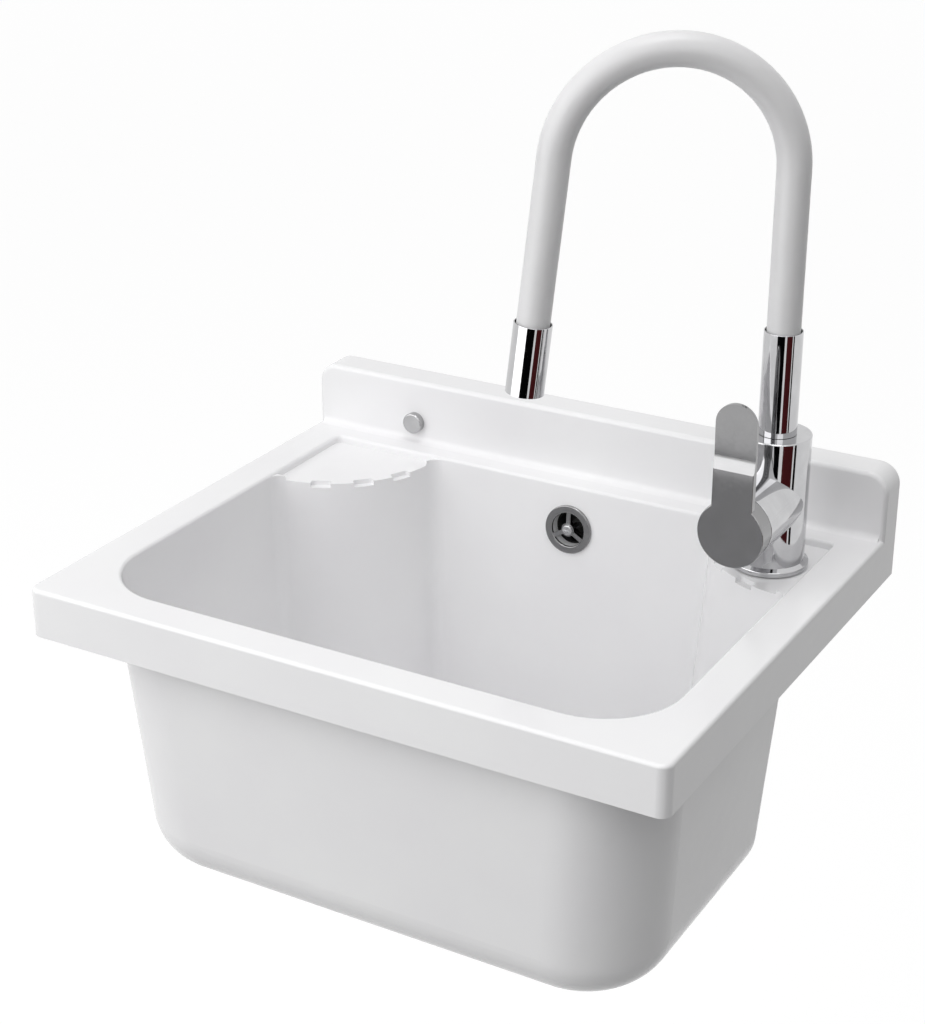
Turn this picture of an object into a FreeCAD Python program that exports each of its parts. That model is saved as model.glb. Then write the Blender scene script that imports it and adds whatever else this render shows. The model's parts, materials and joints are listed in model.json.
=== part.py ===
import FreeCAD, Part
import math
import os

V = FreeCAD.Vector
X_AXIS = V(1, 0, 0)
Y_AXIS = V(0, 1, 0)
Z_AXIS = V(0, 0, 1)

# Wall-hung utility sink with a single-lever mixer tap. Millimetres, +Z up, wall at y = 0, front to -Y.
# While the pieces are built, height 0 is the deck, the flat top of the rim.

# Sink, outside
SINK_WIDTH = 550.0
SINK_DEPTH = 446.0
APRON_HEIGHT = 41.0
APRON_WALL = 10.0
RIM_PLATE = 10.0
RIM_CORNER = 9.0
RIM_EDGE = 3.0
SPLASH_HEIGHT = 58.0
SPLASH_THICK = 30.0
SPLASH_CORNER = 18.0
SPLASH_EDGE = 4.0
SPLASH_WALL = 9.0
COVE = 6.0

# Sink, bowl
RIM_FRONT = 32.5
RIM_SIDE = 34.0
BACK_STRIP = 23.0
BOWL_DEPTH = 254.0
BOWL_WALL = 8.0
BOWL_DRAFT = 4.0
BOWL_CORNER = 64.0
BOWL_BOTTOM = 38.0
LIP_EDGE = 2.5
LIP_BANDS = 4

# Corner shelves and the pillars below them
SHELF_RADIUS = 100.0
SHELF_DROP = 6.4
SHELF_THICK = 12.0
SHELF_CORNER = 5.0
CREASE = 12.0
NOTCH_WIDTH = 18.0
NOTCH_DEPTH = 6.0
NOTCH_DROP = 4.0
NOTCH_CORNER = 2.5
NOTCH_ANGLES = (24.0, 46.0, 67.0)

# Wall fixings
FIX_SPACING = 344.0
FIX_ABOVE_DECK = 18.6
FIX_SHANK = 5.0
FIX_THREAD = 4.75
FIX_OUT = 50.0
FIX_BOSS = 14.0
FIX_HEAD_FLAT = 13.0
FIX_HEAD = 4.0
FIX_WASHER = 8.5
FIX_WASHER_THICK = 1.0
CAP_RADIUS = 9.5
CAP_HEIGHT = 6.5
CAP_WALL = 0.7
CAP_EDGE = 1.2

# Overflow
OVERFLOW_DROP = 40.0
OVERFLOW_HOLE = 15.5
ROSETTE_RADIUS = 22.0
ROSETTE_THICK = 2.5
ROSETTE_HUB = 6.0
SPOKE_WIDTH = 4.0
SPOKES = 3
OVERFLOW_SCREW = 2.4
OVERFLOW_SCREW_HEAD = 4.6
OVERFLOW_GASKET = 2.5
OVERFLOW_FLANGE = 21.0
ELBOW_RADIUS = 17.0
ELBOW_WALL = 2.0
ELBOW_DEPTH = 25.0
ELBOW_REACH = 36.0
PIPE_RADIUS = 11.0
PIPE_WALL = 1.8
PIPE_BEND = 32.0
BELL_LENGTH = 24.0
BELL_WALL = 2.0

# Waste
WASTE_HOLE = 25.0
WASTE_FLANGE = 35.0
WASTE_FLANGE_THICK = 3.0
WASTE_NECK = 23.6
WASTE_NECK_LENGTH = 13.0
WASTE_COLLAR = 33.0
WASTE_COLLAR_THICK = 4.0
WASTE_GASKET = 3.0
WASTE_CHAMBER = 28.0
WASTE_CHAMBER_HEIGHT = 36.0
WASTE_TAIL = 23.9
WASTE_TAIL_LENGTH = 34.0
WASTE_TAPER = 4.0
WASTE_WALL = 2.2
WASTE_BRIDGE = 10.0
STRAINER_HOLES = 8
STRAINER_HOLE = 4.0
STRAINER_CIRCLE = 13.5
STRAINER_DISH = 1.2
STRAINER_RIM = 2.0
WASTE_SCREW = 3.0
WASTE_SCREW_HEAD = 6.0

# Tap, seen from above it stands on the right shelf
TAP_TURN = 37.86
TAP_CLEAR = 6.71
TAP_HOLE = 17.5
BASE_SEAL = 1.0
BASE_SEAL_RADIUS = 29.5
BASE_RING = 6.0
BASE_RING_RADIUS = 31.3
BODY_RADIUS = 27.7
BODY_HEIGHT = 106.0
BODY_EDGE = 1.0
SHANK_RADIUS = 16.0
SHANK_WALL = 3.0
SHANK_SOCKET = 8.0
SHANK_BELOW = 30.0
INLET_RADIUS = 4.5
INLET_DEPTH = 15.0
INLET_SPACING = 13.0
RUBBER_WASHER = 3.0
STEEL_WASHER = 2.0
WASHER_RADIUS = 25.0
NUT_FLAT = 42.0
NUT_HEIGHT = 9.0

# Cartridge in the boss, distances along the boss from the tap's upright axis
BOSS_HEIGHT = 51.3
BOSS_RADIUS = 27.3
BOSS_LENGTH = 43.0
NECK_RADIUS = 20.5
NECK_END = 60.0
CARTRIDGE_RADIUS = 18.0
CARTRIDGE_START = 40.0
CARTRIDGE_WALL = 2.5
CARTRIDGE_BASE = 5.0
PORT_RADIUS = 3.0
PORT_CIRCLE = 8.5
PORTS = 3
FIXED_DISC = 4.8
MOVING_DISC = 7.0
MOVING_DISC_RADIUS = 10.5
ROTOR_FLANGE = 2.0
ROTOR_RADIUS = 12.0
ROTOR_FRONT = 68.5
ROTOR_SLOT = 15.0
GUIDE_LENGTH = 3.3
CAP_NUT_LIP = 2.6
CAP_NUT_WALL = 2.4
CAP_NUT_SKIRT = 14.6
COVER_FRONT = 69.4
COVER_LIP = 1.7
COVER_LIP_HOLE = 14.0
PIVOT = 65.0
PIVOT_PIN = 1.5
TAIL = 12.0
TAIL_BALL = 2.6
TAIL_NECK = 2.0
SPINDLE = 7.0
SPINDLE_END = 82.0

# Lever
LEVER_LIFT = 22.0
LEVER_GAP = 1.1
LEVER_FRONT = 87.1
LEVER_THICK = 5.5
LEVER_WIDTH = 33.5
LEVER_RISE = 106.4
LEVER_BEND = 52.0
TAB_LEAN = 2.0
TAB_SET_BACK = 2.0
TAB_COVE = 11.0
LEVER_EDGE = 0.8
HUB_CAVITY = 22.0
HUB_SOCKET = 8.5
HUB_SOCKET_GAP = 5.1
GRUB_RADIUS = 2.5
GRUB_PLACE = 78.0

# Spout
SPOUT_BEARING = 210.0
SPIGOT_RADIUS = 11.7
SPIGOT_LENGTH = 28.0
SPIGOT_SHOULDER = 6.0
SPIGOT_BORE = 6.0
NIPPLE_RADIUS = 8.4
NIPPLE_LENGTH = 27.0
RING_SECTION = 1.3
RING_DEPTHS = (7.6, 14.6)
SNAP_DEPTH = 22.0
SNAP_THICK = 2.0
SLEEVE_RADIUS = 15.4
SLEEVE_WALL = 1.0
SLEEVE_LENGTH = 84.3
HOSE_RADIUS = 13.3
HOSE_BORE = 10.7
CORE_RADIUS = 10.5
CORE_BORE = 8.6
ARCH_RADIUS = 90.0
ARCH_RISE = 210.4
SPOUT_LEAN = 6.0
OUTLET_LEG = 187.0
OUTLET_LENGTH = 57.0
AERATOR_INSET = 1.5
AERATOR_HEIGHT = 10.0
AERATOR_WALL = 2.6
AERATOR_LIP = 1.5
AERATOR_WASHER = 2.0
AERATOR_JET = 1.3
AERATOR_COUNTS = (6, 12)
AERATOR_CIRCLES = (4.2, 8.2)
OUTLET_FLANGE = 7.5

# Clearances: between pieces that turn or slide, and between pieces pushed together
RUN = 0.3
FIT = 0.15

# Places worked out from the sizes
HALF_WIDTH = SINK_WIDTH / 2
OPEN_X = HALF_WIDTH - RIM_SIDE
OPEN_FRONT = RIM_FRONT - SINK_DEPTH
OPEN_BACK = -SPLASH_THICK - BACK_STRIP
DRAFT = math.tan(math.radians(BOWL_DRAFT))
FLOOR = -BOWL_DEPTH
UNDERSIDE = FLOOR - BOWL_WALL
SHELF_TOP = -SHELF_DROP
SHELF_UNDER = SHELF_TOP - SHELF_THICK
DRAIN_Y = (OPEN_FRONT + OPEN_BACK) / 2
FIX_PLACES = (-FIX_SPACING / 2, FIX_SPACING / 2)
WALL_SQUARE = BOWL_WALL * math.cos(math.radians(BOWL_DRAFT))
TAP_REACH = SHELF_RADIUS - BOWL_WALL - WASHER_RADIUS - TAP_CLEAR
TAP_X = OPEN_X - TAP_REACH * math.sin(math.radians(TAP_TURN))
TAP_Y = OPEN_BACK - TAP_REACH * math.cos(math.radians(TAP_TURN))
BODY_FOOT = SHELF_TOP + BASE_SEAL + BASE_RING
BODY_TOP = BODY_FOOT + BODY_HEIGHT
BOSS_Z = BODY_FOOT + BOSS_HEIGHT
CAVITY_START = CARTRIDGE_START + CARTRIDGE_BASE
MOVING_START = CAVITY_START + FIXED_DISC + RUN
ROTOR_START = MOVING_START + MOVING_DISC + RUN + 1.0
GUIDE_START = ROTOR_START + ROTOR_FLANGE + RUN
CARTRIDGE_END = GUIDE_START + GUIDE_LENGTH
HUB_BACK = COVER_FRONT + LEVER_GAP
CAVITY_RADIUS = CARTRIDGE_RADIUS - CARTRIDGE_WALL
SLEEVE_BORE = SLEEVE_RADIUS - SLEEVE_WALL
ARCH_Z = BODY_TOP + ARCH_RISE
SHOULDER_FOOT = BODY_TOP + RUN
SHOULDER_TOP = SHOULDER_FOOT + SPIGOT_SHOULDER
NIPPLE_FOOT = AERATOR_INSET + AERATOR_HEIGHT + AERATOR_WASHER
HOSE_END = NIPPLE_FOOT + OUTLET_FLANGE
INLET_Z = UNDERSIDE - WASTE_GASKET - WASTE_COLLAR_THICK - WASTE_CHAMBER_HEIGHT / 2
PIPE_BORE = PIPE_RADIUS - PIPE_WALL


def box(x0, x1, y0, y1, z0, z1):
    return Part.makeBox(x1 - x0, y1 - y0, z1 - z0, V(x0, y0, z0))


def cylinder(radius, z0, z1, x=0.0, y=0.0):
    return Part.makeCylinder(radius, z1 - z0, V(x, y, z0))


def tube(outer, inner, z0, z1, x=0.0, y=0.0):
    return cylinder(outer, z0, z1, x, y).cut(cylinder(inner, z0, z1, x, y))


def turned(points):
    """Solid of revolution about Z from a closed profile of (radius, height) points."""
    corners = [V(radius, 0, height) for radius, height in points]
    face = Part.Face(Part.makePolygon(corners + corners[:1]))
    return face.revolve(V(0, 0, 0), Z_AXIS, 360)


def hexagon(flat, z0, z1):
    corner = flat / math.sqrt(3)
    points = [V(corner, 0, z0)]
    for step in range(1, 7):
        angle = math.radians(60 * step)
        points.append(V(corner * math.cos(angle), corner * math.sin(angle), z0))
    return Part.Face(Part.makePolygon(points)).extrude(V(0, 0, z1 - z0))


def joined(shapes):
    return shapes[0].multiFuse(shapes[1:]).removeSplitter()


def ring_of(shape, count, start=0.0):
    """Copies of a shape turned about Z in equal steps."""
    copies = []
    for step in range(count):
        copy = shape.copy()
        copy.rotate(V(0, 0, 0), Z_AXIS, start + 360.0 * step / count)
        copies.append(copy)
    return copies


def rounded_edges(solid, radius, chosen):
    return solid.makeFillet(radius, [edge for edge in solid.Edges if chosen(edge)])


def level(edge, z):
    bounds = edge.BoundBox
    return abs(bounds.ZMin - z) < 1e-4 and abs(bounds.ZMax - z) < 1e-4


def save(name, *solids):
    """Write one node. The origin moves to the wall plane, midway between the two fixings."""
    shape = solids[0] if len(solids) == 1 else Part.makeCompound(list(solids))
    shape.translate(V(0, 0, -FIX_ABOVE_DECK))
    shape.exportStep("parts/" + name + ".step")


# Frames: each turns a piece built along +Z to where it belongs

def at_tap(shape):
    shape.translate(V(TAP_X, TAP_Y, 0))
    return shape


def at_boss(shape):
    """+Z becomes the boss axis, towards the front, and +Y becomes up."""
    shape.rotate(V(0, 0, 0), X_AXIS, 90)
    shape.translate(V(TAP_X, TAP_Y, BOSS_Z))
    return shape


def at_overflow(shape):
    """+Z becomes square to the back wall of the bowl, towards the bowl, and +Y runs up that wall."""
    shape.rotate(V(0, 0, 0), X_AXIS, 90 - BOWL_DRAFT)
    shape.translate(V(0, OPEN_BACK - OVERFLOW_DROP * DRAFT, -OVERFLOW_DROP))
    return shape


def at_drain(shape):
    shape.translate(V(0, DRAIN_Y, 0))
    return shape


def at_spout(shape):
    """The spout is built in the XZ plane with its outlet towards +X."""
    shape.rotate(V(0, 0, 0), Z_AXIS, SPOUT_BEARING)
    return at_tap(shape)


def at_outlet(shape):
    """Height 0 becomes the lower end of the outlet sleeve, and +Z runs up the outlet leg."""
    lean = math.radians(SPOUT_LEAN)
    shape.rotate(V(0, 0, 0), Y_AXIS, -SPOUT_LEAN)
    end_x = ARCH_RADIUS * (1 + math.cos(lean)) + OUTLET_LEG * math.sin(lean)
    end_z = ARCH_Z + ARCH_RADIUS * math.sin(lean) - OUTLET_LEG * math.cos(lean)
    shape.translate(V(end_x, 0, end_z))
    return at_spout(shape)


# Sink basin

def bowl_section(grow, front_corner, back_corner, z):
    """Rounded outline of the bowl at a height, grown outwards from the opening."""
    half = OPEN_X + grow
    front = OPEN_FRONT - grow
    back = OPEN_BACK + grow
    corners = ((half, front, -1, 1), (half, back, -1, -1), (-half, back, 1, -1), (-half, front, 1, 1))
    arcs = []
    for place, (x, y, dx, dy) in enumerate(corners):
        corner = front_corner if dy > 0 else back_corner
        bow = corner * (1 - math.sqrt(0.5))
        along_y = V(x, y + dy * corner, z)
        along_x = V(x + dx * corner, y, z)
        middle = V(x + dx * bow, y + dy * bow, z)
        ends = (along_x, along_y) if place % 2 == 0 else (along_y, along_x)
        arcs.append(Part.Arc(ends[0], middle, ends[1]))
    edges = []
    for place, arc in enumerate(arcs):
        following = arcs[(place + 1) % len(arcs)]
        edges.append(arc.toShape())
        edges.append(Part.LineSegment(arc.EndPoint, following.StartPoint).toShape())
    return Part.Wire(edges)


def tapered_bowl(grow, corner, bottom, bottom_round):
    sections = [bowl_section(grow, corner, corner, 0),
                bowl_section(grow + bottom * DRAFT, corner, corner, bottom)]
    solid = Part.makeLoft(sections, True, True)
    return rounded_edges(solid, bottom_round, lambda edge: level(edge, bottom))


def pillar(side, radius, bottom):
    """Quarter-round corner column, as a whole cone about the corner of the opening, from above the deck."""
    top = 1
    cone = Part.makeCone(radius - bottom * DRAFT, radius - top * DRAFT, top - bottom, V(0, 0, bottom))
    cone.rotate(V(0, 0, 0), Z_AXIS, 90 - 45 * side)
    cone.translate(V(side * OPEN_X, OPEN_BACK, 0))
    return cone


def creased(solid, radius, keep_out):
    """Round the edges where the corner columns meet the walls and the floor of a bowl."""
    def on_column(edge):
        middle = edge.valueAt((edge.FirstParameter + edge.LastParameter) / 2)
        start = edge.valueAt(edge.FirstParameter)
        for side in (-1, 1):
            offsets = []
            for point in (start, middle):
                reach = math.hypot(point.x - side * OPEN_X, point.y - OPEN_BACK)
                offsets.append(abs(reach - keep_out + point.z * DRAFT))
            if max(offsets) < 1e-3 and edge.BoundBox.ZMin < SHELF_UNDER - 1:
                return True
        return False
    return rounded_edges(solid, radius, on_column)


def bowl_inside():
    space = tapered_bowl(0, BOWL_CORNER, FLOOR, BOWL_BOTTOM)
    space = space.cut([pillar(side, SHELF_RADIUS, FLOOR - 1) for side in (-1, 1)])
    space = creased(space, CREASE, SHELF_RADIUS)
    step = Part.makeLoft([bowl_section(0, SHELF_CORNER, SHELF_CORNER, 0),
                          bowl_section(SHELF_TOP * DRAFT, SHELF_CORNER, SHELF_CORNER, SHELF_TOP)], True, True)
    recesses = []
    for side in (-1, 1):
        inner = side * (OPEN_X - SHELF_RADIUS)
        reach = box(min(inner, side * HALF_WIDTH), max(inner, side * HALF_WIDTH),
                    OPEN_BACK - SHELF_RADIUS, 0, SHELF_TOP, 0)
        recesses.append(step.common(reach))
    return joined([space] + recesses)


def bowl_lip():
    """Rounded mouth of the bowl, in a few straight bands."""
    sections = []
    for step in range(LIP_BANDS + 1):
        angle = math.pi / 2 * step / LIP_BANDS
        grow = LIP_EDGE * (1 - math.sin(angle))
        z = -LIP_EDGE * (1 - math.cos(angle))
        sections.append(bowl_section(grow + z * DRAFT, BOWL_CORNER + grow, SHELF_CORNER + grow, z))
    return Part.makeLoft(sections, True, True)


def bowl_outside():
    solid = tapered_bowl(BOWL_WALL, BOWL_CORNER + BOWL_WALL, UNDERSIDE, BOWL_BOTTOM + BOWL_WALL)
    column = SHELF_RADIUS - BOWL_WALL
    solid = solid.cut([pillar(side, column, UNDERSIDE - 1) for side in (-1, 1)])
    return creased(solid, CREASE, column)


def rim():
    block = box(-HALF_WIDTH, HALF_WIDTH, -SINK_DEPTH, 0, -APRON_HEIGHT, 0)
    block = rounded_edges(block, RIM_CORNER, lambda edge: abs(edge.CenterOfMass.y + SINK_DEPTH) < 1e-4
                          and abs(edge.CenterOfMass.z + APRON_HEIGHT / 2) < 1e-4)
    block = rounded_edges(block, RIM_EDGE, lambda edge: level(edge, 0) and edge.CenterOfMass.y < -1)
    inner = HALF_WIDTH - APRON_WALL
    hollow = box(-inner, inner, APRON_WALL - SINK_DEPTH, -APRON_WALL, -APRON_HEIGHT, -RIM_PLATE)
    return block.cut(hollow)


def splashback():
    upstand = box(-HALF_WIDTH, HALF_WIDTH, -SPLASH_THICK, 0, -RIM_PLATE, SPLASH_HEIGHT)
    upstand = rounded_edges(upstand, SPLASH_CORNER, lambda edge: edge.BoundBox.ZMin > SPLASH_HEIGHT - 1
                            and edge.BoundBox.XLength < 1)
    upstand = rounded_edges(upstand, SPLASH_EDGE, lambda edge: edge.BoundBox.YMax < 1 - SPLASH_THICK
                            and edge.BoundBox.ZMax > 0)
    inner = HALF_WIDTH - SPLASH_WALL
    pocket = box(-inner, inner, SPLASH_WALL - SPLASH_THICK, 0, 0, SPLASH_HEIGHT - SPLASH_WALL)
    pocket = rounded_edges(pocket, SPLASH_WALL, lambda edge: edge.BoundBox.YLength > 1)
    shell = upstand.cut(pocket)
    start = V(-HALF_WIDTH + SPLASH_EDGE, -SPLASH_THICK, 0)
    foot = start - V(0, COVE, 0)
    head = start + V(0, 0, COVE)
    bow = COVE * (1 - math.sqrt(0.5))
    arc = Part.Arc(head, start + V(0, -bow, bow), foot).toShape()
    outline = Part.Wire([Part.makeLine(start, head), arc, Part.makeLine(foot, start)])
    cove = Part.Face(outline).extrude(V(SINK_WIDTH - 2 * SPLASH_EDGE, 0, 0))
    bosses = [fixing(cylinder(FIX_BOSS, -SPLASH_THICK + 1, 0), place) for place in FIX_PLACES]
    return [shell, cove] + bosses


def fixing(shape, place):
    """+Z becomes the way into the wall, height 0 the wall plane."""
    shape.rotate(V(0, 0, 0), X_AXIS, -90)
    shape.translate(V(place, 0, FIX_ABOVE_DECK))
    return shape


def shelf_blocks():
    blocks = []
    for side in (-1, 1):
        outer = side * (OPEN_X + BOWL_WALL)
        inner = side * (OPEN_X - SHELF_RADIUS)
        blocks.append(box(min(inner, outer), max(inner, outer), OPEN_BACK - SHELF_RADIUS,
                          OPEN_BACK + BOWL_WALL, SHELF_UNDER, -RIM_EDGE))
    return blocks


def shelf_notches():
    notches = []
    for side in (-1, 1):
        for angle in NOTCH_ANGLES:
            notch = box(-NOTCH_WIDTH / 2, NOTCH_WIDTH / 2, -SHELF_RADIUS - NOTCH_DEPTH,
                        NOTCH_DEPTH - SHELF_RADIUS, SHELF_TOP - NOTCH_DROP, SHELF_TOP)
            notch = rounded_edges(notch, NOTCH_CORNER, lambda edge: edge.BoundBox.ZLength > NOTCH_DROP / 2
                                  and edge.CenterOfMass.y > -SHELF_RADIUS)
            notch.rotate(V(0, 0, 0), Z_AXIS, -side * angle)
            notch.translate(V(side * OPEN_X, OPEN_BACK, 0))
            notches.append(notch)
    return notches


def sink_basin():
    solid = joined([rim(), bowl_outside()] + splashback() + shelf_blocks())
    solid = solid.cut(bowl_inside())
    holes = shelf_notches()
    holes.append(at_overflow(cylinder(OVERFLOW_HOLE, -2 * BOWL_WALL, BOWL_WALL)))
    holes.append(at_drain(cylinder(WASTE_HOLE, UNDERSIDE - 1, FLOOR + 1)))
    holes.append(at_drain(cylinder(WASTE_FLANGE + RUN, FLOOR - WASTE_FLANGE_THICK, FLOOR + 1)))
    holes.append(at_tap(cylinder(TAP_HOLE, SHELF_UNDER - 1, SHELF_TOP + 1)))
    for place in FIX_PLACES:
        holes.append(fixing(cylinder(FIX_SHANK + RUN, -SPLASH_THICK - 1, 1), place))
    return solid.cut(holes).cut(bowl_lip())


# Wall fixings

def fixing_screw(place):
    face = -SPLASH_THICK - FIX_WASHER_THICK
    head = hexagon(FIX_HEAD_FLAT, face - FIX_HEAD, face)
    shank = cylinder(FIX_SHANK, face, 0)
    thread = cylinder(FIX_THREAD, 0, FIX_OUT - FIX_THREAD)
    point = Part.makeCone(FIX_THREAD, 1.0, FIX_THREAD, V(0, 0, FIX_OUT - FIX_THREAD))
    return fixing(joined([head, shank, thread, point]), place)


def fixing_washer(place):
    return fixing(tube(FIX_WASHER, FIX_SHANK + FIT, -SPLASH_THICK - FIX_WASHER_THICK, -SPLASH_THICK), place)


def fixing_cap(place):
    top = -SPLASH_THICK - CAP_HEIGHT
    cap = cylinder(CAP_RADIUS, top, -SPLASH_THICK)
    cap = rounded_edges(cap, CAP_EDGE, lambda edge: level(edge, top))
    return fixing(cap.cut(cylinder(CAP_RADIUS - CAP_WALL, top + CAP_WALL, -SPLASH_THICK)), place)


# Overflow

def overflow_rosette():
    rim_ring = tube(ROSETTE_RADIUS, OVERFLOW_HOLE, 0, ROSETTE_THICK)
    rim_ring = rounded_edges(rim_ring, ROSETTE_THICK / 3, lambda edge: level(edge, ROSETTE_THICK))
    spoke = box(-SPOKE_WIDTH / 2, SPOKE_WIDTH / 2, 0, OVERFLOW_HOLE + 1, 0, ROSETTE_THICK - 0.5)
    hub = cylinder(ROSETTE_HUB, 0, ROSETTE_THICK)
    star = joined([rim_ring, hub] + ring_of(spoke, SPOKES))
    return at_overflow(star.cut(cylinder(OVERFLOW_SCREW + FIT, 0, ROSETTE_THICK)))


def overflow_screw():
    head = cylinder(OVERFLOW_SCREW_HEAD, ROSETTE_THICK, ROSETTE_THICK + 2)
    head = rounded_edges(head, 1.2, lambda edge: level(edge, ROSETTE_THICK + 2))
    slot = box(-OVERFLOW_SCREW_HEAD, OVERFLOW_SCREW_HEAD, -0.5, 0.5, ROSETTE_THICK + 1, ROSETTE_THICK + 2)
    shank = cylinder(OVERFLOW_SCREW, ELBOW_DEPTH / 2 - ELBOW_DEPTH - WALL_SQUARE, ROSETTE_THICK)
    return at_overflow(joined([head.cut(slot), shank]))


def overflow_gasket():
    return at_overflow(tube(OVERFLOW_FLANGE, OVERFLOW_HOLE, -WALL_SQUARE - OVERFLOW_GASKET, -WALL_SQUARE))


def elbow_back():
    return -WALL_SQUARE - OVERFLOW_GASKET - ELBOW_DEPTH


def overflow_elbow():
    seat = -WALL_SQUARE - OVERFLOW_GASKET
    back = elbow_back()
    inside = ELBOW_RADIUS - ELBOW_WALL
    middle = back + PIPE_RADIUS + 1
    flange = cylinder(OVERFLOW_FLANGE, seat - ELBOW_WALL, seat)
    chamber = cylinder(ELBOW_RADIUS, back, seat)
    spigot = cylinder(PIPE_RADIUS, 0, ELBOW_REACH)
    bore = cylinder(PIPE_BORE, 0, ELBOW_REACH)
    for shape in (spigot, bore):
        shape.rotate(V(0, 0, 0), X_AXIS, 90)
        shape.translate(V(0, 0, middle))
    outer = joined([flange, chamber, spigot])
    space = joined([cylinder(inside, back + ELBOW_WALL, seat), bore])
    post = cylinder(OVERFLOW_SCREW + ELBOW_WALL, back, seat - ELBOW_DEPTH / 4)
    shell = joined([outer.cut(space), post])
    drill = cylinder(OVERFLOW_SCREW + FIT, ELBOW_DEPTH / 2 - ELBOW_DEPTH - WALL_SQUARE - FIT, seat)
    return at_overflow(shell.cut(drill))


def pipe_end(outlet, along):
    """A spot on the overflow wall frame, as a point of the sink."""
    marker = Part.Vertex(V(0, -outlet, along))
    return at_overflow(marker).Point


def swept(section_radius, path, start, direction):
    ring = Part.Wire([Part.makeCircle(section_radius, start, direction)])
    return path.makePipeShell([ring], True, True)


def bell(start, direction):
    """Socket of the pipe, pushed over the spigot that ends at start."""
    foot = start - direction * (BELL_LENGTH / 2)
    outer = Part.makeCylinder(PIPE_RADIUS + FIT + BELL_WALL, BELL_LENGTH, foot, direction)
    spigot_room = Part.makeCylinder(PIPE_RADIUS + FIT, BELL_LENGTH / 2, foot, direction)
    bore = Part.makeCylinder(PIPE_BORE, BELL_LENGTH, foot, direction)
    return outer.cut(spigot_room).cut(bore)


def overflow_pipe():
    middle = elbow_back() + PIPE_RADIUS + 1
    start = pipe_end(ELBOW_REACH, middle)
    down = start - pipe_end(0, middle)
    down.normalize()
    corner = start + down * ((INLET_Z - start.z) / down.z)
    forward = V(0, -1, 0)
    finish = V(0, DRAIN_Y + WASTE_CHAMBER + BELL_LENGTH, INLET_Z)
    turn = math.pi / 2 - math.radians(BOWL_DRAFT)
    setback = PIPE_BEND * math.tan(turn / 2)
    first = corner - down * setback
    second = corner + forward * setback
    inward = forward - down
    inward.normalize()
    centre = corner + inward * (PIPE_BEND / math.cos(turn / 2))
    middle_point = centre - inward * PIPE_BEND
    path = Part.Wire([Part.makeLine(start, first), Part.Arc(first, middle_point, second).toShape(),
                      Part.makeLine(second, finish)])
    wall = swept(PIPE_RADIUS, path, start, down).cut(swept(PIPE_BORE, path, start, down))
    return joined([wall, bell(start, down), bell(finish, V(0, 1, 0))])


# Waste

def waste_strainer():
    top = FLOOR
    plate_foot = top - WASTE_FLANGE_THICK
    plate = cylinder(WASTE_FLANGE, plate_foot, top)
    plate = rounded_edges(plate, 1.0, lambda edge: level(edge, top))
    dish_edge = WASTE_NECK - STRAINER_RIM
    dish = turned(((0, top), (dish_edge, top), (dish_edge - 2 * STRAINER_DISH, top - STRAINER_DISH),
                   (0, top - STRAINER_DISH)))
    neck = tube(WASTE_NECK, WASTE_NECK - WASTE_WALL, plate_foot - WASTE_NECK_LENGTH, plate_foot)
    hole = cylinder(STRAINER_HOLE, plate_foot, top, STRAINER_CIRCLE)
    holes = ring_of(hole, STRAINER_HOLES) + [cylinder(WASTE_SCREW + FIT, plate_foot, top)]
    return at_drain(joined([plate.cut(dish), neck]).cut(holes))


def waste_screw():
    seat = FLOOR - STRAINER_DISH
    head = cylinder(WASTE_SCREW_HEAD, seat, seat + 2.5)
    head = rounded_edges(head, 1.2, lambda edge: level(edge, seat + 2.5))
    slot = box(-WASTE_SCREW_HEAD, WASTE_SCREW_HEAD, -0.6, 0.6, seat + 1.3, seat + 2.5)
    shank = cylinder(WASTE_SCREW, INLET_Z + PIPE_RADIUS, seat)
    return at_drain(joined([head.cut(slot), shank]))


def waste_gasket():
    return at_drain(tube(WASTE_COLLAR, WASTE_HOLE, UNDERSIDE - WASTE_GASKET, UNDERSIDE))


def waste_body():
    top = UNDERSIDE - WASTE_GASKET
    shelf = top - WASTE_COLLAR_THICK
    foot = shelf - WASTE_CHAMBER_HEIGHT
    end = foot - WASTE_TAIL_LENGTH
    outer = turned(((0, top), (WASTE_COLLAR, top), (WASTE_COLLAR, shelf), (WASTE_CHAMBER, shelf),
                    (WASTE_CHAMBER, foot + WASTE_TAPER), (WASTE_TAIL, foot), (WASTE_TAIL, end), (0, end)))
    inside = WASTE_CHAMBER - WASTE_WALL
    throat = WASTE_TAIL - WASTE_WALL
    space = turned(((0, top), (inside, top), (inside, foot + WASTE_TAPER), (throat, foot),
                    (throat, end), (0, end)))
    spigot = Part.makeCylinder(PIPE_RADIUS, WASTE_CHAMBER + BELL_LENGTH, V(0, 0, INLET_Z), Y_AXIS)
    bore = Part.makeCylinder(PIPE_BORE, WASTE_CHAMBER + BELL_LENGTH, V(0, 0, INLET_Z), Y_AXIS)
    shell = joined([outer, spigot]).cut(space).cut(bore)
    bridge_top = INLET_Z + PIPE_RADIUS + WASTE_BRIDGE / 2
    bridge = box(-inside - 1, inside + 1, -WASTE_BRIDGE / 2, WASTE_BRIDGE / 2,
                 INLET_Z + PIPE_RADIUS, bridge_top)
    neck_room = cylinder(inside + 1, foot, top).common(bridge)
    body = joined([shell, neck_room])
    return at_drain(body.cut(cylinder(WASTE_SCREW + FIT, INLET_Z, top)))


# Tap, fixed pieces

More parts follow.
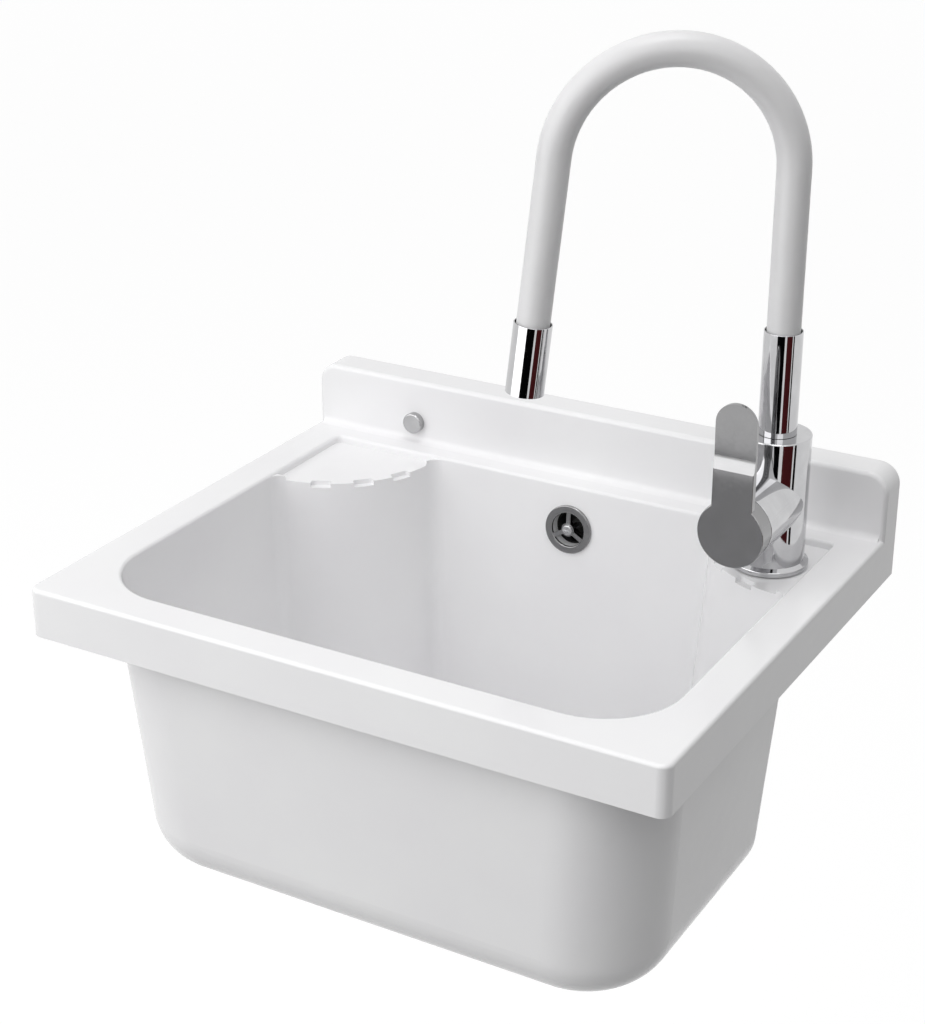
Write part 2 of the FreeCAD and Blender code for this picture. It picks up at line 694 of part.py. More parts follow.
def tap_body():
    column = cylinder(BODY_RADIUS, BODY_FOOT, BODY_TOP)
    column = rounded_edges(column, BODY_EDGE, lambda edge: level(edge, BODY_TOP))
    boss = turned(((0, 0), (BOSS_RADIUS, 0), (BOSS_RADIUS, BOSS_LENGTH), (NECK_RADIUS, BOSS_LENGTH),
                   (NECK_RADIUS, NECK_END), (0, NECK_END)))
    solid = joined([at_tap(column), at_boss(boss)])
    socket = BODY_TOP - SPIGOT_LENGTH - 1
    snap = BODY_TOP - SNAP_DEPTH
    roof = BODY_FOOT + SHANK_SOCKET
    upright = [cylinder(SPIGOT_RADIUS + RUN, socket, BODY_TOP),
               cylinder(SPIGOT_RADIUS + 1.7, snap - 0.6, snap + SNAP_THICK + 0.6),
               cylinder(SPIGOT_BORE, BOSS_Z, socket),
               cylinder(SHANK_RADIUS + FIT, BODY_FOOT, roof)]
    for side in (-1, 1):
        upright.append(cylinder(INLET_RADIUS, roof, roof + INLET_DEPTH, side * INLET_SPACING / 2))
    level_bores = [cylinder(CARTRIDGE_RADIUS + FIT, CARTRIDGE_START, NECK_END),
                   cylinder(SPIGOT_BORE, 0, CARTRIDGE_START)]
    spaces = [at_tap(shape) for shape in upright] + [at_boss(shape) for shape in level_bores]
    return solid.cut(spaces)


def tap_base_seal():
    return at_tap(tube(BASE_SEAL_RADIUS, SHANK_RADIUS + FIT, SHELF_TOP, SHELF_TOP + BASE_SEAL))


def tap_base_ring():
    foot = SHELF_TOP + BASE_SEAL
    brow = foot + BASE_RING * 0.6
    ring = turned(((SHANK_RADIUS + FIT, foot), (BASE_RING_RADIUS, foot), (BASE_RING_RADIUS, brow),
                   (BODY_RADIUS, BODY_FOOT), (SHANK_RADIUS + FIT, BODY_FOOT)))
    return at_tap(rounded_edges(ring, 1.2, lambda edge: level(edge, brow)))


def tap_shank():
    roof = BODY_FOOT + SHANK_SOCKET
    return at_tap(tube(SHANK_RADIUS, SHANK_RADIUS - SHANK_WALL, SHELF_UNDER - SHANK_BELOW, roof))


def tap_rubber_washer():
    return at_tap(tube(WASHER_RADIUS, SHANK_RADIUS + FIT, SHELF_UNDER - RUBBER_WASHER, SHELF_UNDER))


def tap_steel_washer():
    top = SHELF_UNDER - RUBBER_WASHER
    return at_tap(tube(WASHER_RADIUS, SHANK_RADIUS + FIT, top - STEEL_WASHER, top))


def tap_fixing_nut():
    top = SHELF_UNDER - RUBBER_WASHER - STEEL_WASHER
    nut = hexagon(NUT_FLAT, top - NUT_HEIGHT, top)
    return at_tap(nut.cut(cylinder(SHANK_RADIUS + FIT, top - NUT_HEIGHT, top)))


def boss_cover():
    """Chrome sleeve over the neck, with an inward lip at its front."""
    cap_nut = NECK_RADIUS + FIT + CAP_NUT_WALL
    lip_back = COVER_FRONT - COVER_LIP
    sleeve = turned(((cap_nut + RUN, BOSS_LENGTH), (BOSS_RADIUS, BOSS_LENGTH), (BOSS_RADIUS, COVER_FRONT),
                     (COVER_LIP_HOLE, COVER_FRONT), (COVER_LIP_HOLE, lip_back), (cap_nut + RUN, lip_back)))
    return at_boss(rounded_edges(sleeve, BODY_EDGE / 2, lambda edge: level(edge, COVER_FRONT)
                                 and edge.BoundBox.XMax > BOSS_RADIUS - 1))


def cartridge_nut():
    """Cap nut on the neck that holds the cartridge in."""
    outer = NECK_RADIUS + FIT + CAP_NUT_WALL
    lip_front = CARTRIDGE_END + CAP_NUT_LIP
    skirt = CARTRIDGE_END - CAP_NUT_SKIRT
    return at_boss(turned(((NECK_RADIUS + FIT, skirt), (outer, skirt), (outer, lip_front),
                           (ROTOR_RADIUS + RUN, lip_front), (ROTOR_RADIUS + RUN, CARTRIDGE_END),
                           (NECK_RADIUS + FIT, CARTRIDGE_END))))


def ports(depth_start, depth_end):
    hole = cylinder(PORT_RADIUS, depth_start, depth_end, 0, PORT_CIRCLE)
    return Part.makeCompound(ring_of(hole, PORTS, 180))


def cartridge_housing():
    shell = turned(((0, CARTRIDGE_START), (CARTRIDGE_RADIUS, CARTRIDGE_START),
                    (CARTRIDGE_RADIUS, CARTRIDGE_END), (ROTOR_RADIUS + RUN, CARTRIDGE_END), (ROTOR_RADIUS + RUN, GUIDE_START),
                    (CAVITY_RADIUS, GUIDE_START), (CAVITY_RADIUS, CAVITY_START), (0, CAVITY_START)))
    return at_boss(shell.cut(ports(CARTRIDGE_START, CAVITY_START)))


def fixed_disc():
    disc = cylinder(CAVITY_RADIUS - FIT, CAVITY_START, CAVITY_START + FIXED_DISC)
    return at_boss(disc.cut(ports(CAVITY_START, CAVITY_START + FIXED_DISC)))


# Tap, moving pieces of the cartridge

def moving_disc():
    end = MOVING_START + MOVING_DISC
    ball_place = PIVOT - TAIL
    disc = cylinder(MOVING_DISC_RADIUS, MOVING_START, end)
    pocket = cylinder(TAIL_BALL + RUN, ball_place - TAIL_BALL - 0.2, end)
    mouth = Part.makeCone(TAIL_BALL + RUN, TAIL_BALL + 3.0, end - ball_place, V(0, 0, ball_place))
    return at_boss(disc.cut(pocket).cut(mouth))


def cartridge_rotor():
    flange = cylinder(CAVITY_RADIUS - RUN, ROTOR_START, ROTOR_START + ROTOR_FLANGE)
    stem = cylinder(ROTOR_RADIUS, ROTOR_START, ROTOR_FRONT)
    half = SPINDLE / 2 + RUN
    slot = box(-half, half, -ROTOR_SLOT / 2, ROTOR_SLOT / 2, ROTOR_START, ROTOR_FRONT)
    pin_hole = Part.makeCylinder(PIVOT_PIN + FIT, 2 * ROTOR_RADIUS, V(-ROTOR_RADIUS, 0, PIVOT), X_AXIS)
    return at_boss(joined([flange, stem]).cut(slot).cut(pin_hole))


def pivot_pin():
    half = ROTOR_RADIUS - 2 * RUN
    return at_boss(Part.makeCylinder(PIVOT_PIN, 2 * half, V(-half, 0, PIVOT), X_AXIS))


def spindle():
    half = SPINDLE / 2
    ball_place = PIVOT - TAIL
    shoulder = ROTOR_START + 1
    bar = box(-half, half, -half, half, shoulder, SPINDLE_END)
    bar = rounded_edges(bar, 0.5, lambda edge: edge.BoundBox.ZLength > 1)
    neck = cylinder(TAIL_NECK, ball_place, shoulder)
    ball = Part.makeSphere(TAIL_BALL, V(0, 0, ball_place))
    pin_hole = Part.makeCylinder(PIVOT_PIN + RUN, SPINDLE, V(-half, 0, PIVOT), X_AXIS)
    return at_boss(joined([bar, neck, ball]).cut(pin_hole))


def lever_strip():
    """Flat lever with a round top. Its tab is set back behind a shallow cove and leans slightly forward."""
    half = LEVER_WIDTH / 2
    back = LEVER_FRONT - LEVER_THICK
    tab_foot = LEVER_BEND + TAB_COVE
    tab_front = LEVER_FRONT - TAB_SET_BACK
    out = (LEVER_RISE - tab_foot) * math.tan(math.radians(TAB_LEAN))
    cove = (TAB_COVE ** 2 + TAB_SET_BACK ** 2) / (2 * TAB_SET_BACK)
    turn = math.asin(TAB_COVE / cove) / 2
    middle = V(-half, tab_foot - cove * math.sin(turn), tab_front + cove * (1 - math.cos(turn)))
    brow = V(-half, LEVER_BEND, LEVER_FRONT)
    foot = V(-half, tab_foot, tab_front)
    rest = [foot, V(-half, LEVER_RISE, tab_front + out), V(-half, LEVER_RISE, back + out),
            V(-half, tab_foot, back), V(-half, 0, back), V(-half, 0, LEVER_FRONT), brow]
    outline = Part.Wire([Part.Arc(brow, middle, foot).toShape()] + Part.makePolygon(rest).Edges)
    bar = Part.Face(outline).extrude(V(LEVER_WIDTH, 0, 0))
    shoulder = LEVER_RISE - half
    round_top = cylinder(half, back - 1, LEVER_FRONT + 1, 0, shoulder)
    lower = box(-half, half, 0, shoulder, back - 1, LEVER_FRONT + 1)
    return bar.common(joined([round_top, lower]))


def lever_handle():
    hub = cylinder(BOSS_RADIUS, HUB_BACK, LEVER_FRONT)
    cavity_roof = LEVER_FRONT - LEVER_THICK
    outside = joined([hub, lever_strip()])
    outside = rounded_edges(outside, LEVER_EDGE, lambda edge: level(edge, LEVER_FRONT)
                            and edge.BoundBox.YLength > LEVER_EDGE)
    shell = outside.cut(cylinder(HUB_CAVITY, HUB_BACK, cavity_roof))
    socket_back = HUB_BACK + HUB_SOCKET_GAP - 2
    socket = cylinder(HUB_SOCKET, socket_back, cavity_roof)
    half = SPINDLE / 2 + FIT / 2
    solid = joined([shell, socket]).cut(box(-half, half, -half, half, socket_back, SPINDLE_END))
    relief = box(-BOSS_RADIUS - 1, BOSS_RADIUS + 1, -2 * BOSS_RADIUS, 0, HUB_BACK - BOSS_RADIUS, HUB_BACK)
    relief.rotate(V(0, 0, HUB_BACK), X_AXIS, -LEVER_LIFT - 1)
    solid = solid.cut(relief)
    drill = Part.makeCylinder(GRUB_RADIUS + FIT, HUB_SOCKET, V(0, -HUB_SOCKET - 1, GRUB_PLACE), Y_AXIS)
    return at_boss(solid.cut(drill))


def grub_screw():
    reach = HUB_SOCKET - SPINDLE / 2 - 0.5
    screw = Part.makeCylinder(GRUB_RADIUS, reach, V(0, -HUB_SOCKET + 0.5, GRUB_PLACE), Y_AXIS)
    socket = hexagon(GRUB_RADIUS, 0, 2)
    socket.rotate(V(0, 0, 0), X_AXIS, -90)
    socket.translate(V(0, -HUB_SOCKET + 0.5, GRUB_PLACE))
    return at_boss(screw.cut(socket))


# Spout

def spout_spigot():
    foot = SHOULDER_FOOT - SPIGOT_LENGTH
    nipple_top = SHOULDER_TOP + NIPPLE_LENGTH
    body = turned(((SPIGOT_BORE, foot), (SPIGOT_RADIUS, foot), (SPIGOT_RADIUS, SHOULDER_FOOT),
                   (SLEEVE_BORE - FIT, SHOULDER_FOOT), (SLEEVE_BORE - FIT, SHOULDER_TOP),
                   (NIPPLE_RADIUS, SHOULDER_TOP), (NIPPLE_RADIUS, nipple_top), (SPIGOT_BORE, nipple_top)))
    grooves = []
    for depth in RING_DEPTHS:
        place = BODY_TOP - depth
        grooves.append(tube(SPIGOT_RADIUS + 1, SPIGOT_RADIUS - 2 * RING_SECTION - 0.1,
                            place - RING_SECTION - 0.3, place + RING_SECTION + 0.3))
    snap = BODY_TOP - SNAP_DEPTH
    grooves.append(tube(SPIGOT_RADIUS + 1, SPIGOT_RADIUS - 1.4, snap - RUN, snap + SNAP_THICK + RUN))
    return at_spout(body.cut(grooves))


def spout_o_rings():
    rings = []
    for depth in RING_DEPTHS:
        place = V(0, 0, BODY_TOP - depth)
        rings.append(at_spout(Part.makeTorus(SPIGOT_RADIUS - RING_SECTION, RING_SECTION, place)))
    return rings


def spout_snap_ring():
    snap = BODY_TOP - SNAP_DEPTH
    ring = tube(SPIGOT_RADIUS + 1.3, SPIGOT_RADIUS - 1.1, snap, snap + SNAP_THICK)
    mouth = box(0, 2 * SPIGOT_RADIUS, -2.5, 2.5, snap, snap + SNAP_THICK)
    return at_spout(ring.cut(mouth))


def spout_sleeve():
    top = SHOULDER_FOOT + SLEEVE_LENGTH
    sleeve = tube(SLEEVE_RADIUS, SLEEVE_BORE, SHOULDER_FOOT, top)
    return at_spout(rounded_edges(sleeve, SLEEVE_WALL / 3, lambda edge: level(edge, top)))


def spout_path():
    lean = math.radians(SPOUT_LEAN)
    start = V(0, 0, SHOULDER_TOP)
    spring = V(0, 0, ARCH_Z)
    crown = V(ARCH_RADIUS, 0, ARCH_Z + ARCH_RADIUS)
    leg = V(ARCH_RADIUS * (1 + math.cos(lean)), 0, ARCH_Z + ARCH_RADIUS * math.sin(lean))
    run = OUTLET_LEG - HOSE_END
    end = leg + V(math.sin(lean), 0, -math.cos(lean)) * run
    arch = Part.Arc(spring, crown, leg).toShape()
    return Part.Wire([Part.makeLine(start, spring), arch, Part.makeLine(leg, end)])


def bent_tube(outer, bore):
    path = spout_path()
    start = V(0, 0, SHOULDER_TOP)
    return at_spout(swept(outer, path, start, Z_AXIS).cut(swept(bore, path, start, Z_AXIS)))


def spout_hose():
    return bent_tube(HOSE_RADIUS, HOSE_BORE)


def gooseneck_core():
    return bent_tube(CORE_RADIUS, CORE_BORE)


def outlet_sleeve():
    sleeve = tube(SLEEVE_RADIUS, SLEEVE_BORE, 0, OUTLET_LENGTH)
    return at_outlet(rounded_edges(sleeve, SLEEVE_WALL / 3, lambda edge: level(edge, OUTLET_LENGTH)))


def outlet_nipple():
    outer = SLEEVE_BORE - FIT
    top = HOSE_END + NIPPLE_LENGTH
    return at_outlet(turned(((SPIGOT_BORE, NIPPLE_FOOT), (outer, NIPPLE_FOOT), (outer, HOSE_END),
                             (NIPPLE_RADIUS, HOSE_END), (NIPPLE_RADIUS, top), (SPIGOT_BORE, top))))


def aerator_housing():
    outer = SLEEVE_BORE - FIT
    bore = outer - AERATOR_WALL
    foot = AERATOR_INSET
    top = foot + AERATOR_HEIGHT
    return at_outlet(turned(((bore - AERATOR_LIP, foot), (outer, foot), (outer, top), (bore, top),
                             (bore, foot + AERATOR_LIP), (bore - AERATOR_LIP, foot + AERATOR_LIP))))


def aerator_insert():
    bore = SLEEVE_BORE - FIT - AERATOR_WALL
    foot = AERATOR_INSET + AERATOR_LIP
    top = AERATOR_INSET + AERATOR_HEIGHT
    insert = cylinder(bore - FIT, foot, top)
    jets = []
    for count, circle in zip(AERATOR_COUNTS, AERATOR_CIRCLES):
        jets += ring_of(cylinder(AERATOR_JET, foot, top, circle), count)
    return at_outlet(insert.cut(jets))


def aerator_washer():
    foot = AERATOR_INSET + AERATOR_HEIGHT
    return at_outlet(tube(SLEEVE_BORE - 2 * FIT, SPIGOT_BORE + AERATOR_WALL, foot, foot + AERATOR_WASHER))


os.makedirs("parts", exist_ok=True)

save("sink_basin", sink_basin())
save("fixing_screws", *[fixing_screw(place) for place in FIX_PLACES])
save("fixing_washers", *[fixing_washer(place) for place in FIX_PLACES])
save("fixing_caps", *[fixing_cap(place) for place in FIX_PLACES])
save("overflow_rosette", overflow_rosette())
save("overflow_screw", overflow_screw())
save("overflow_gasket", overflow_gasket())
save("overflow_elbow", overflow_elbow())
save("overflow_pipe", overflow_pipe())
save("waste_strainer", waste_strainer())
save("waste_screw", waste_screw())
save("waste_gasket", waste_gasket())
save("waste_body", waste_body())
save("tap_body", tap_body())
save("tap_base_seal", tap_base_seal())
save("tap_base_ring", tap_base_ring())
save("tap_shank", tap_shank())
save("tap_rubber_washer", tap_rubber_washer())
save("tap_steel_washer", tap_steel_washer())
save("tap_fixing_nut", tap_fixing_nut())
save("boss_cover", boss_cover())
save("cartridge_nut", cartridge_nut())
save("cartridge_housing", cartridge_housing())
save("fixed_disc", fixed_disc())
save("moving_disc", moving_disc())
save("cartridge_rotor", cartridge_rotor())
save("pivot_pin", pivot_pin())
save("spindle", spindle())
save("lever_handle", lever_handle())
save("grub_screw", grub_screw())
save("spout_spigot", spout_spigot())
save("spout_o_rings", *spout_o_rings())
save("spout_snap_ring", spout_snap_ring())
save("spout_sleeve", spout_sleeve())
save("spout_hose", spout_hose())
save("gooseneck_core", gooseneck_core())
save("outlet_sleeve", outlet_sleeve())
save("outlet_nipple", outlet_nipple())
save("aerator_housing", aerator_housing())
save("aerator_insert", aerator_insert())
save("aerator_washer", aerator_washer())
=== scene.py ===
import bpy
import json
import math
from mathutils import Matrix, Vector


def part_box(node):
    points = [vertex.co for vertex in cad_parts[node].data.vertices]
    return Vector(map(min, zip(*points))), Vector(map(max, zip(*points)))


# Wall-hung utility sink: finishes, studio light and the photograph's camera. Metres, +Z up, wall at y = 0.
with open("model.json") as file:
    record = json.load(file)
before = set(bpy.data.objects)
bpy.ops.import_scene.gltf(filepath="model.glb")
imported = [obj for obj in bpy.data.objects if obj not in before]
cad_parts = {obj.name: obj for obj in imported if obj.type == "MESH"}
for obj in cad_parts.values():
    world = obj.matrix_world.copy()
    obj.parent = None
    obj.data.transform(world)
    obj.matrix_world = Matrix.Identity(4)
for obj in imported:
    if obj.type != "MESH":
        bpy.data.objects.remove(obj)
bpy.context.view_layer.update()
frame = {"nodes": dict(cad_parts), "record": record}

# Camera
CAMERA_PLACE = (0.757, -1.5572, 0.6954)
CAMERA_TILT = 66.28
CAMERA_TURN = 29.93
CAMERA_LENS = 73.9

# Studio
FLOOR_BELOW_ORIGIN = 0.87
FLOOR_SIZE = 24.0
FLOOR_TONE = 0.2
FLOOR_GLOW = 0.83
SKY_START = 0.0
SKY_TOP = 0.81

# Lamps: power in watts, size and place
LAMPS = {
    "key": (36.0, 2.6, (-1.0, -1.9, 0.6)),
    "fill": (10.0, 0.8, (0.2, -0.4, 2.2)),
    "side": (5.0, 1.2, (1.3, -1.5, 1.3)),
}
LAMP_AIM = Vector((0.0, -0.2, 0.0))

# Dark studio panels round the tap: bearing and spread in degrees, tone
FLAG_DISTANCE = 1.4
FLAG_FOOT = -FLOOR_BELOW_ORIGIN
FLAG_HEAD = -0.1
BLACK_TONE = (0.006, 0.006, 0.007)
WARM_TONE = (0.15, 0.027, 0.03)
FLAGS = {
    "flag_black": (-80, 44, BLACK_TONE),
    "flag_warm": (-30, 34, WARM_TONE),
    "flag_thin": (-4, 8, BLACK_TONE),
}

# Tones of the finishes, as linear colours: the two ends of their faint mottling
RESIN_TONES = ((0.86, 0.855, 0.868), (0.89, 0.89, 0.895))
HOSE_TONES = ((0.88, 0.875, 0.89), (0.90, 0.895, 0.905))
PLASTIC_TONES = ((0.70, 0.70, 0.69), (0.76, 0.76, 0.75))
CHROME_TONES = ((0.5, 0.5, 0.51), (0.57, 0.57, 0.58))
CAP_TONES = ((0.4, 0.4, 0.405), (0.46, 0.46, 0.465))
# Chrome darkened to about half its tone: painted shade for the dimmer reflections of the lever and the
# overflow rosette
SHADED_CHROME_TONES = ((0.28, 0.28, 0.283), (0.3, 0.3, 0.303))
STEEL_TONES = ((0.42, 0.42, 0.43), (0.55, 0.55, 0.56))
BRASS_TONES = ((0.52, 0.36, 0.13), (0.66, 0.48, 0.2))
RUBBER_TONES = ((0.012, 0.012, 0.012), (0.03, 0.03, 0.03))
GREY_TONES = ((0.14, 0.145, 0.15), (0.2, 0.205, 0.21))
CERAMIC_TONES = ((0.74, 0.73, 0.70), (0.8, 0.79, 0.76))

# Plastics: tones, least and most roughness
PLASTICS = {
    "white_plastic": (PLASTIC_TONES, 0.35, 0.5),
    "grey_plastic": (GREY_TONES, 0.4, 0.55),
    "black_plastic": (RUBBER_TONES, 0.4, 0.55),
}

# Metals: tones, least and most roughness, grain per metre, bump depth in metres, squeeze of the grain
EVEN = (1, 1, 1)
TURNED = (1, 1, 6)
METALS = {
    "chrome": (CHROME_TONES, 0.03, 0.07, 240, 0.000004, EVEN),
    # Darkened copy of the chrome: painted shade on the lever and the overflow rosette
    "shaded_chrome": (SHADED_CHROME_TONES, 0.08, 0.14, 240, 0.000004, EVEN),
    "cap_chrome": (CAP_TONES, 0.06, 0.12, 240, 0.000004, EVEN),
    "steel": (STEEL_TONES, 0.22, 0.36, 500, 0.00002, TURNED),
    "core_steel": (STEEL_TONES, 0.3, 0.45, 500, 0.00002, TURNED),
    "brass": (BRASS_TONES, 0.2, 0.34, 420, 0.00002, EVEN),
}

# Nodes that differ from their slot in the record
OWN_FINISHES = {
    # The lever and the overflow rosette take the darkened chrome, which is painted shade
    "lever_handle": "shaded_chrome",
    "overflow_rosette": "shaded_chrome",
    "fixing_caps": "cap_chrome",
    "overflow_elbow": "black_plastic",
}


# Materials

def new_material(name, **values):
    material = bpy.data.materials.new(name)
    material.use_nodes = True
    shader = material.node_tree.nodes["Principled BSDF"]
    for socket, value in values.items():
        shader.inputs[socket.replace("_", " ")].default_value = value
    return material


def noise(material, scale, detail, squeeze=EVEN):
    """Noise fixed to the piece, with its grain in repeats per metre."""
    tree = material.node_tree
    place = tree.nodes.new("ShaderNodeTexCoord")
    mapping = tree.nodes.new("ShaderNodeMapping")
    mapping.inputs["Scale"].default_value = squeeze
    texture = tree.nodes.new("ShaderNodeTexNoise")
    texture.inputs["Scale"].default_value = scale
    texture.inputs["Detail"].default_value = detail
    tree.links.new(place.outputs["Object"], mapping.inputs["Vector"])
    tree.links.new(mapping.outputs["Vector"], texture.inputs["Vector"])
    return texture.outputs["Fac"]


def tint(material, tones, source):
    tree = material.node_tree
    ramp = tree.nodes.new("ShaderNodeValToRGB")
    ramp.color_ramp.elements[0].position = 0.3
    ramp.color_ramp.elements[1].position = 0.7
    for element, tone in zip(ramp.color_ramp.elements, tones):
        element.color = (*tone, 1)
    tree.links.new(source, ramp.inputs["Fac"])
    tree.links.new(ramp.outputs["Color"], tree.nodes["Principled BSDF"].inputs["Base Color"])


def roughen(material, smoothest, roughest, source):
    tree = material.node_tree
    spread = tree.nodes.new("ShaderNodeMapRange")
    spread.inputs["From Min"].default_value = 0.3
    spread.inputs["From Max"].default_value = 0.7
    spread.inputs["To Min"].default_value = smoothest
    spread.inputs["To Max"].default_value = roughest
    tree.links.new(source, spread.inputs["Value"])
    tree.links.new(spread.outputs["Result"], tree.nodes["Principled BSDF"].inputs["Roughness"])


def emboss(material, depth, source):
    """Bump of a depth in metres."""
    tree = material.node_tree
    bump = tree.nodes.new("ShaderNodeBump")
    bump.inputs["Distance"].default_value = depth
    tree.links.new(source, bump.inputs["Height"])
    tree.links.new(bump.outputs["Normal"], tree.nodes["Principled BSDF"].inputs["Normal"])


def resin():
    """Glossy cast sink, with the faint waviness of a moulded skin."""
    material = new_material("white_resin", Specular_IOR_Level=0.3, Coat_Weight=0.12, Coat_Roughness=0.08)
    tint(material, RESIN_TONES, noise(material, 9, 4))
    roughen(material, 0.14, 0.26, noise(material, 60, 5))
    emboss(material, 0.00005, noise(material, 35, 2))
    return material


def hose_skin():
    """Satin rubber, which passes a little light on round its thickness."""
    material = new_material("hose_white", Coat_Weight=0.15, Coat_Roughness=0.2, Subsurface_Weight=0.6,
                            Subsurface_Scale=0.012, Subsurface_Radius=(1, 1, 1))
    tint(material, HOSE_TONES, noise(material, 14, 3))
    roughen(material, 0.36, 0.42, noise(material, 90, 4))
    emboss(material, 0.00001, noise(material, 400, 2))
    return material


def plastic(name, tones, smoothest, roughest):
    material = new_material(name)
    tint(material, tones, noise(material, 30, 4))
    roughen(material, smoothest, roughest, noise(material, 120, 4))
    emboss(material, 0.00005, noise(material, 900, 4))
    return material


def metal(name, tones, smoothest, roughest, grain, depth, squeeze):
    material = new_material(name, Metallic=1.0)
    tint(material, tones, noise(material, grain / 4, 3, squeeze))
    roughen(material, smoothest, roughest, noise(material, grain, 5, squeeze))
    emboss(material, depth, noise(material, grain, 4, squeeze))
    return material


def rubber():
    material = new_material("rubber", Specular_IOR_Level=0.3)
    tint(material, RUBBER_TONES, noise(material, 80, 4))
    roughen(material, 0.6, 0.8, noise(material, 300, 4))
    emboss(material, 0.00008, noise(material, 1500, 4))
    return material


def ceramic():
    material = new_material("disc_ceramic")
    tint(material, CERAMIC_TONES, noise(material, 60, 4))
    roughen(material, 0.12, 0.22, noise(material, 400, 4))
    return material


def dress_nodes():
    """Every CAD node takes its own finish or that of its slot in the record."""
    finishes = {
        "white_resin": resin(),
        "hose_white": hose_skin(),
        "rubber": rubber(),
        "disc_ceramic": ceramic(),
    }
    for name, values in PLASTICS.items():
        finishes[name] = plastic(name, *values)
    for name, values in METALS.items():
        finishes[name] = metal(name, *values)
    for part in frame["record"]["subparts"]:
        node = frame["nodes"][part["node"]]
        finish = OWN_FINISHES.get(part["node"], part["material_slot"])
        node.data.materials.clear()
        node.data.materials.append(finishes[finish])


# Studio

def seen_directly(tree):
    """1 for rays that show the background: from the camera, in metal or through glass."""
    path = tree.nodes.new("ShaderNodeLightPath")
    first = tree.nodes.new("ShaderNodeMath")
    first.operation = "MAXIMUM"
    second = tree.nodes.new("ShaderNodeMath")
    second.operation = "MAXIMUM"
    tree.links.new(path.outputs["Is Camera Ray"], first.inputs[0])
    tree.links.new(path.outputs["Is Glossy Ray"], first.inputs[1])
    tree.links.new(first.outputs[0], second.inputs[0])
    tree.links.new(path.outputs["Is Transmission Ray"], second.inputs[1])
    return second.outputs[0]


def make_world():
    world = bpy.data.worlds.new("studio")
    bpy.context.scene.world = world
    world.use_nodes = True
    tree = world.node_tree
    room = tree.nodes["Background"]
    room.inputs["Color"].default_value = (1, 1, 1, 1)
    direction = tree.nodes.new("ShaderNodeTexCoord")
    split = tree.nodes.new("ShaderNodeSeparateXYZ")
    rise = tree.nodes.new("ShaderNodeMapRange")
    rise.inputs["From Min"].default_value = SKY_START
    rise.inputs["To Max"].default_value = SKY_TOP
    tree.links.new(direction.outputs["Generated"], split.inputs["Vector"])
    tree.links.new(split.outputs["Z"], rise.inputs["Value"])
    tree.links.new(rise.outputs["Result"], room.inputs["Strength"])
    backdrop = tree.nodes.new("ShaderNodeBackground")
    backdrop.inputs["Color"].default_value = (1, 1, 1, 1)
    backdrop.inputs["Strength"].default_value = 1.0
    mix = tree.nodes.new("ShaderNodeMixShader")
    tree.links.new(seen_directly(tree), mix.inputs["Fac"])
    tree.links.new(room.outputs["Background"], mix.inputs[1])
    tree.links.new(backdrop.outputs["Background"], mix.inputs[2])
    tree.links.new(mix.outputs["Shader"], tree.nodes["World Output"].inputs["Surface"])


def plane(name, width, height, place, facing):
    """Rectangle centred at a place, with its front towards a direction."""
    half_w = width / 2
    half_h = height / 2
    corners = [(-half_w, -half_h, 0), (half_w, -half_h, 0), (half_w, half_h, 0), (-half_w, half_h, 0)]
    mesh = bpy.data.meshes.new(name)
    mesh.from_pydata(corners, [], [(0, 1, 2, 3)])
    sheet = bpy.data.objects.new(name, mesh)
    sheet.location = place
    sheet.rotation_euler = Vector(facing).to_track_quat("Z", "Y").to_euler()
    bpy.context.collection.objects.link(sheet)
    return sheet


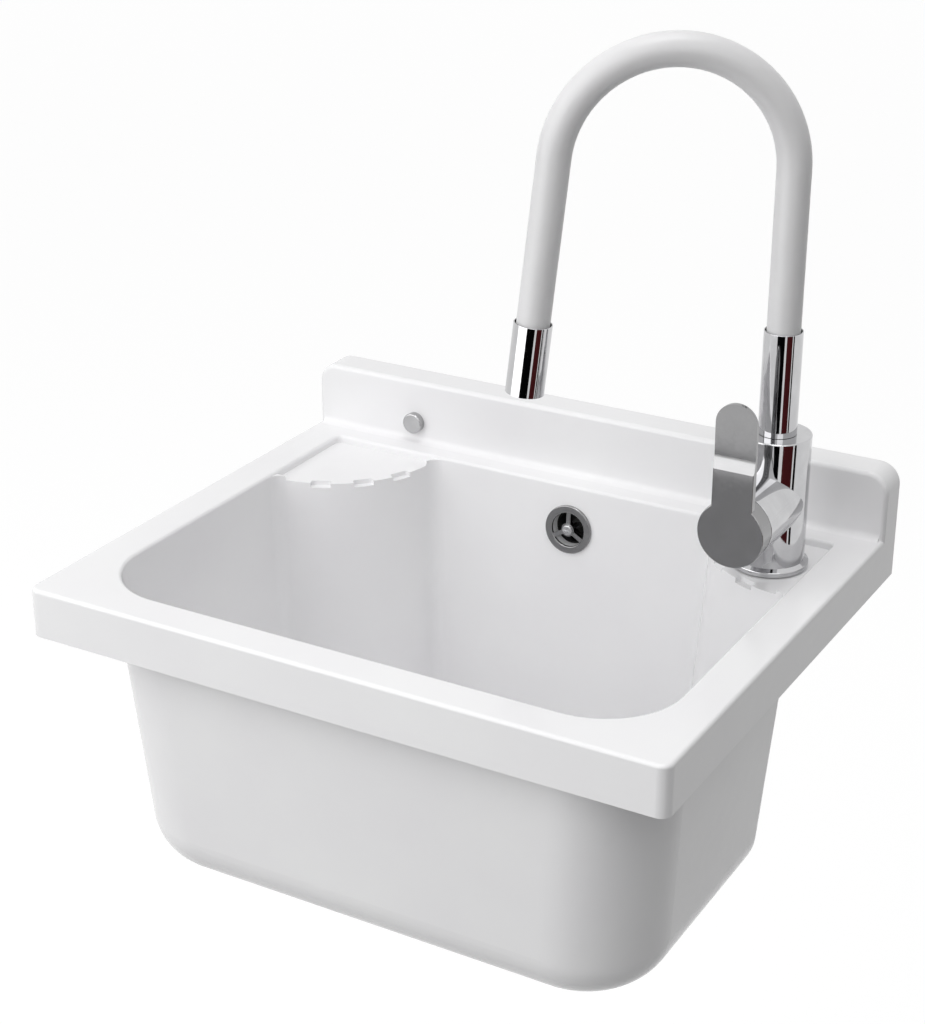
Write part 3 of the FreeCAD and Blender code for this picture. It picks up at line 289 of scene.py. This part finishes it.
def make_floor():
    """Floor that the camera sees as white, with the object's faint shadow on it."""
    floor = plane("floor", FLOOR_SIZE, FLOOR_SIZE, (0, 0, -FLOOR_BELOW_ORIGIN), (0, 0, 1))
    material = new_material("floor_white", Roughness=0.9)
    tree = material.node_tree
    shader = tree.nodes["Principled BSDF"]
    shader.inputs["Base Color"].default_value = (FLOOR_TONE, FLOOR_TONE, FLOOR_TONE, 1)
    strength = tree.nodes.new("ShaderNodeMath")
    strength.operation = "MULTIPLY"
    strength.inputs[1].default_value = FLOOR_GLOW
    glow = tree.nodes.new("ShaderNodeEmission")
    both = tree.nodes.new("ShaderNodeAddShader")
    tree.links.new(seen_directly(tree), strength.inputs[0])
    tree.links.new(strength.outputs[0], glow.inputs["Strength"])
    tree.links.new(shader.outputs["BSDF"], both.inputs[0])
    tree.links.new(glow.outputs["Emission"], both.inputs[1])
    tree.links.new(both.outputs["Shader"], tree.nodes["Material Output"].inputs["Surface"])
    floor.data.materials.append(material)


def make_flag(name, bearing, spread, tone):
    """Dark panel facing the tap, which only reflections show."""
    turn = math.radians(bearing)
    outwards = Vector((math.cos(turn), math.sin(turn), 0))
    ring_low, ring_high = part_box("tap_base_ring")
    place = (ring_low + ring_high) / 2 + outwards * FLAG_DISTANCE
    place.z = (FLAG_FOOT + FLAG_HEAD) / 2
    width = 2 * FLAG_DISTANCE * math.tan(math.radians(spread / 2))
    flag = plane(name, width, FLAG_HEAD - FLAG_FOOT, place, -outwards)
    material = new_material(name, Roughness=1.0, Specular_IOR_Level=0.0)
    material.node_tree.nodes["Principled BSDF"].inputs["Base Color"].default_value = (*tone, 1)
    flag.data.materials.append(material)
    flag.visible_camera = False
    flag.visible_shadow = False
    flag.visible_diffuse = False


def make_lamp(name, power, size, place):
    lamp = bpy.data.lights.new(name, "AREA")
    lamp.energy = power
    lamp.size = size
    holder = bpy.data.objects.new(name, lamp)
    holder.location = place
    holder.rotation_euler = (LAMP_AIM - Vector(place)).to_track_quat("-Z", "Y").to_euler()
    bpy.context.collection.objects.link(holder)


def make_camera():
    data = bpy.data.cameras.new("camera")
    data.lens = CAMERA_LENS
    camera = bpy.data.objects.new("camera", data)
    camera.location = CAMERA_PLACE
    camera.rotation_euler = (math.radians(CAMERA_TILT), 0, math.radians(CAMERA_TURN))
    bpy.context.collection.objects.link(camera)
    bpy.context.scene.camera = camera


make_camera()
dress_nodes()
make_world()
make_floor()
for name, values in FLAGS.items():
    make_flag(name, *values)
for name, values in LAMPS.items():
    make_lamp(name, *values)
bpy.context.scene.view_settings.view_transform = "Standard"
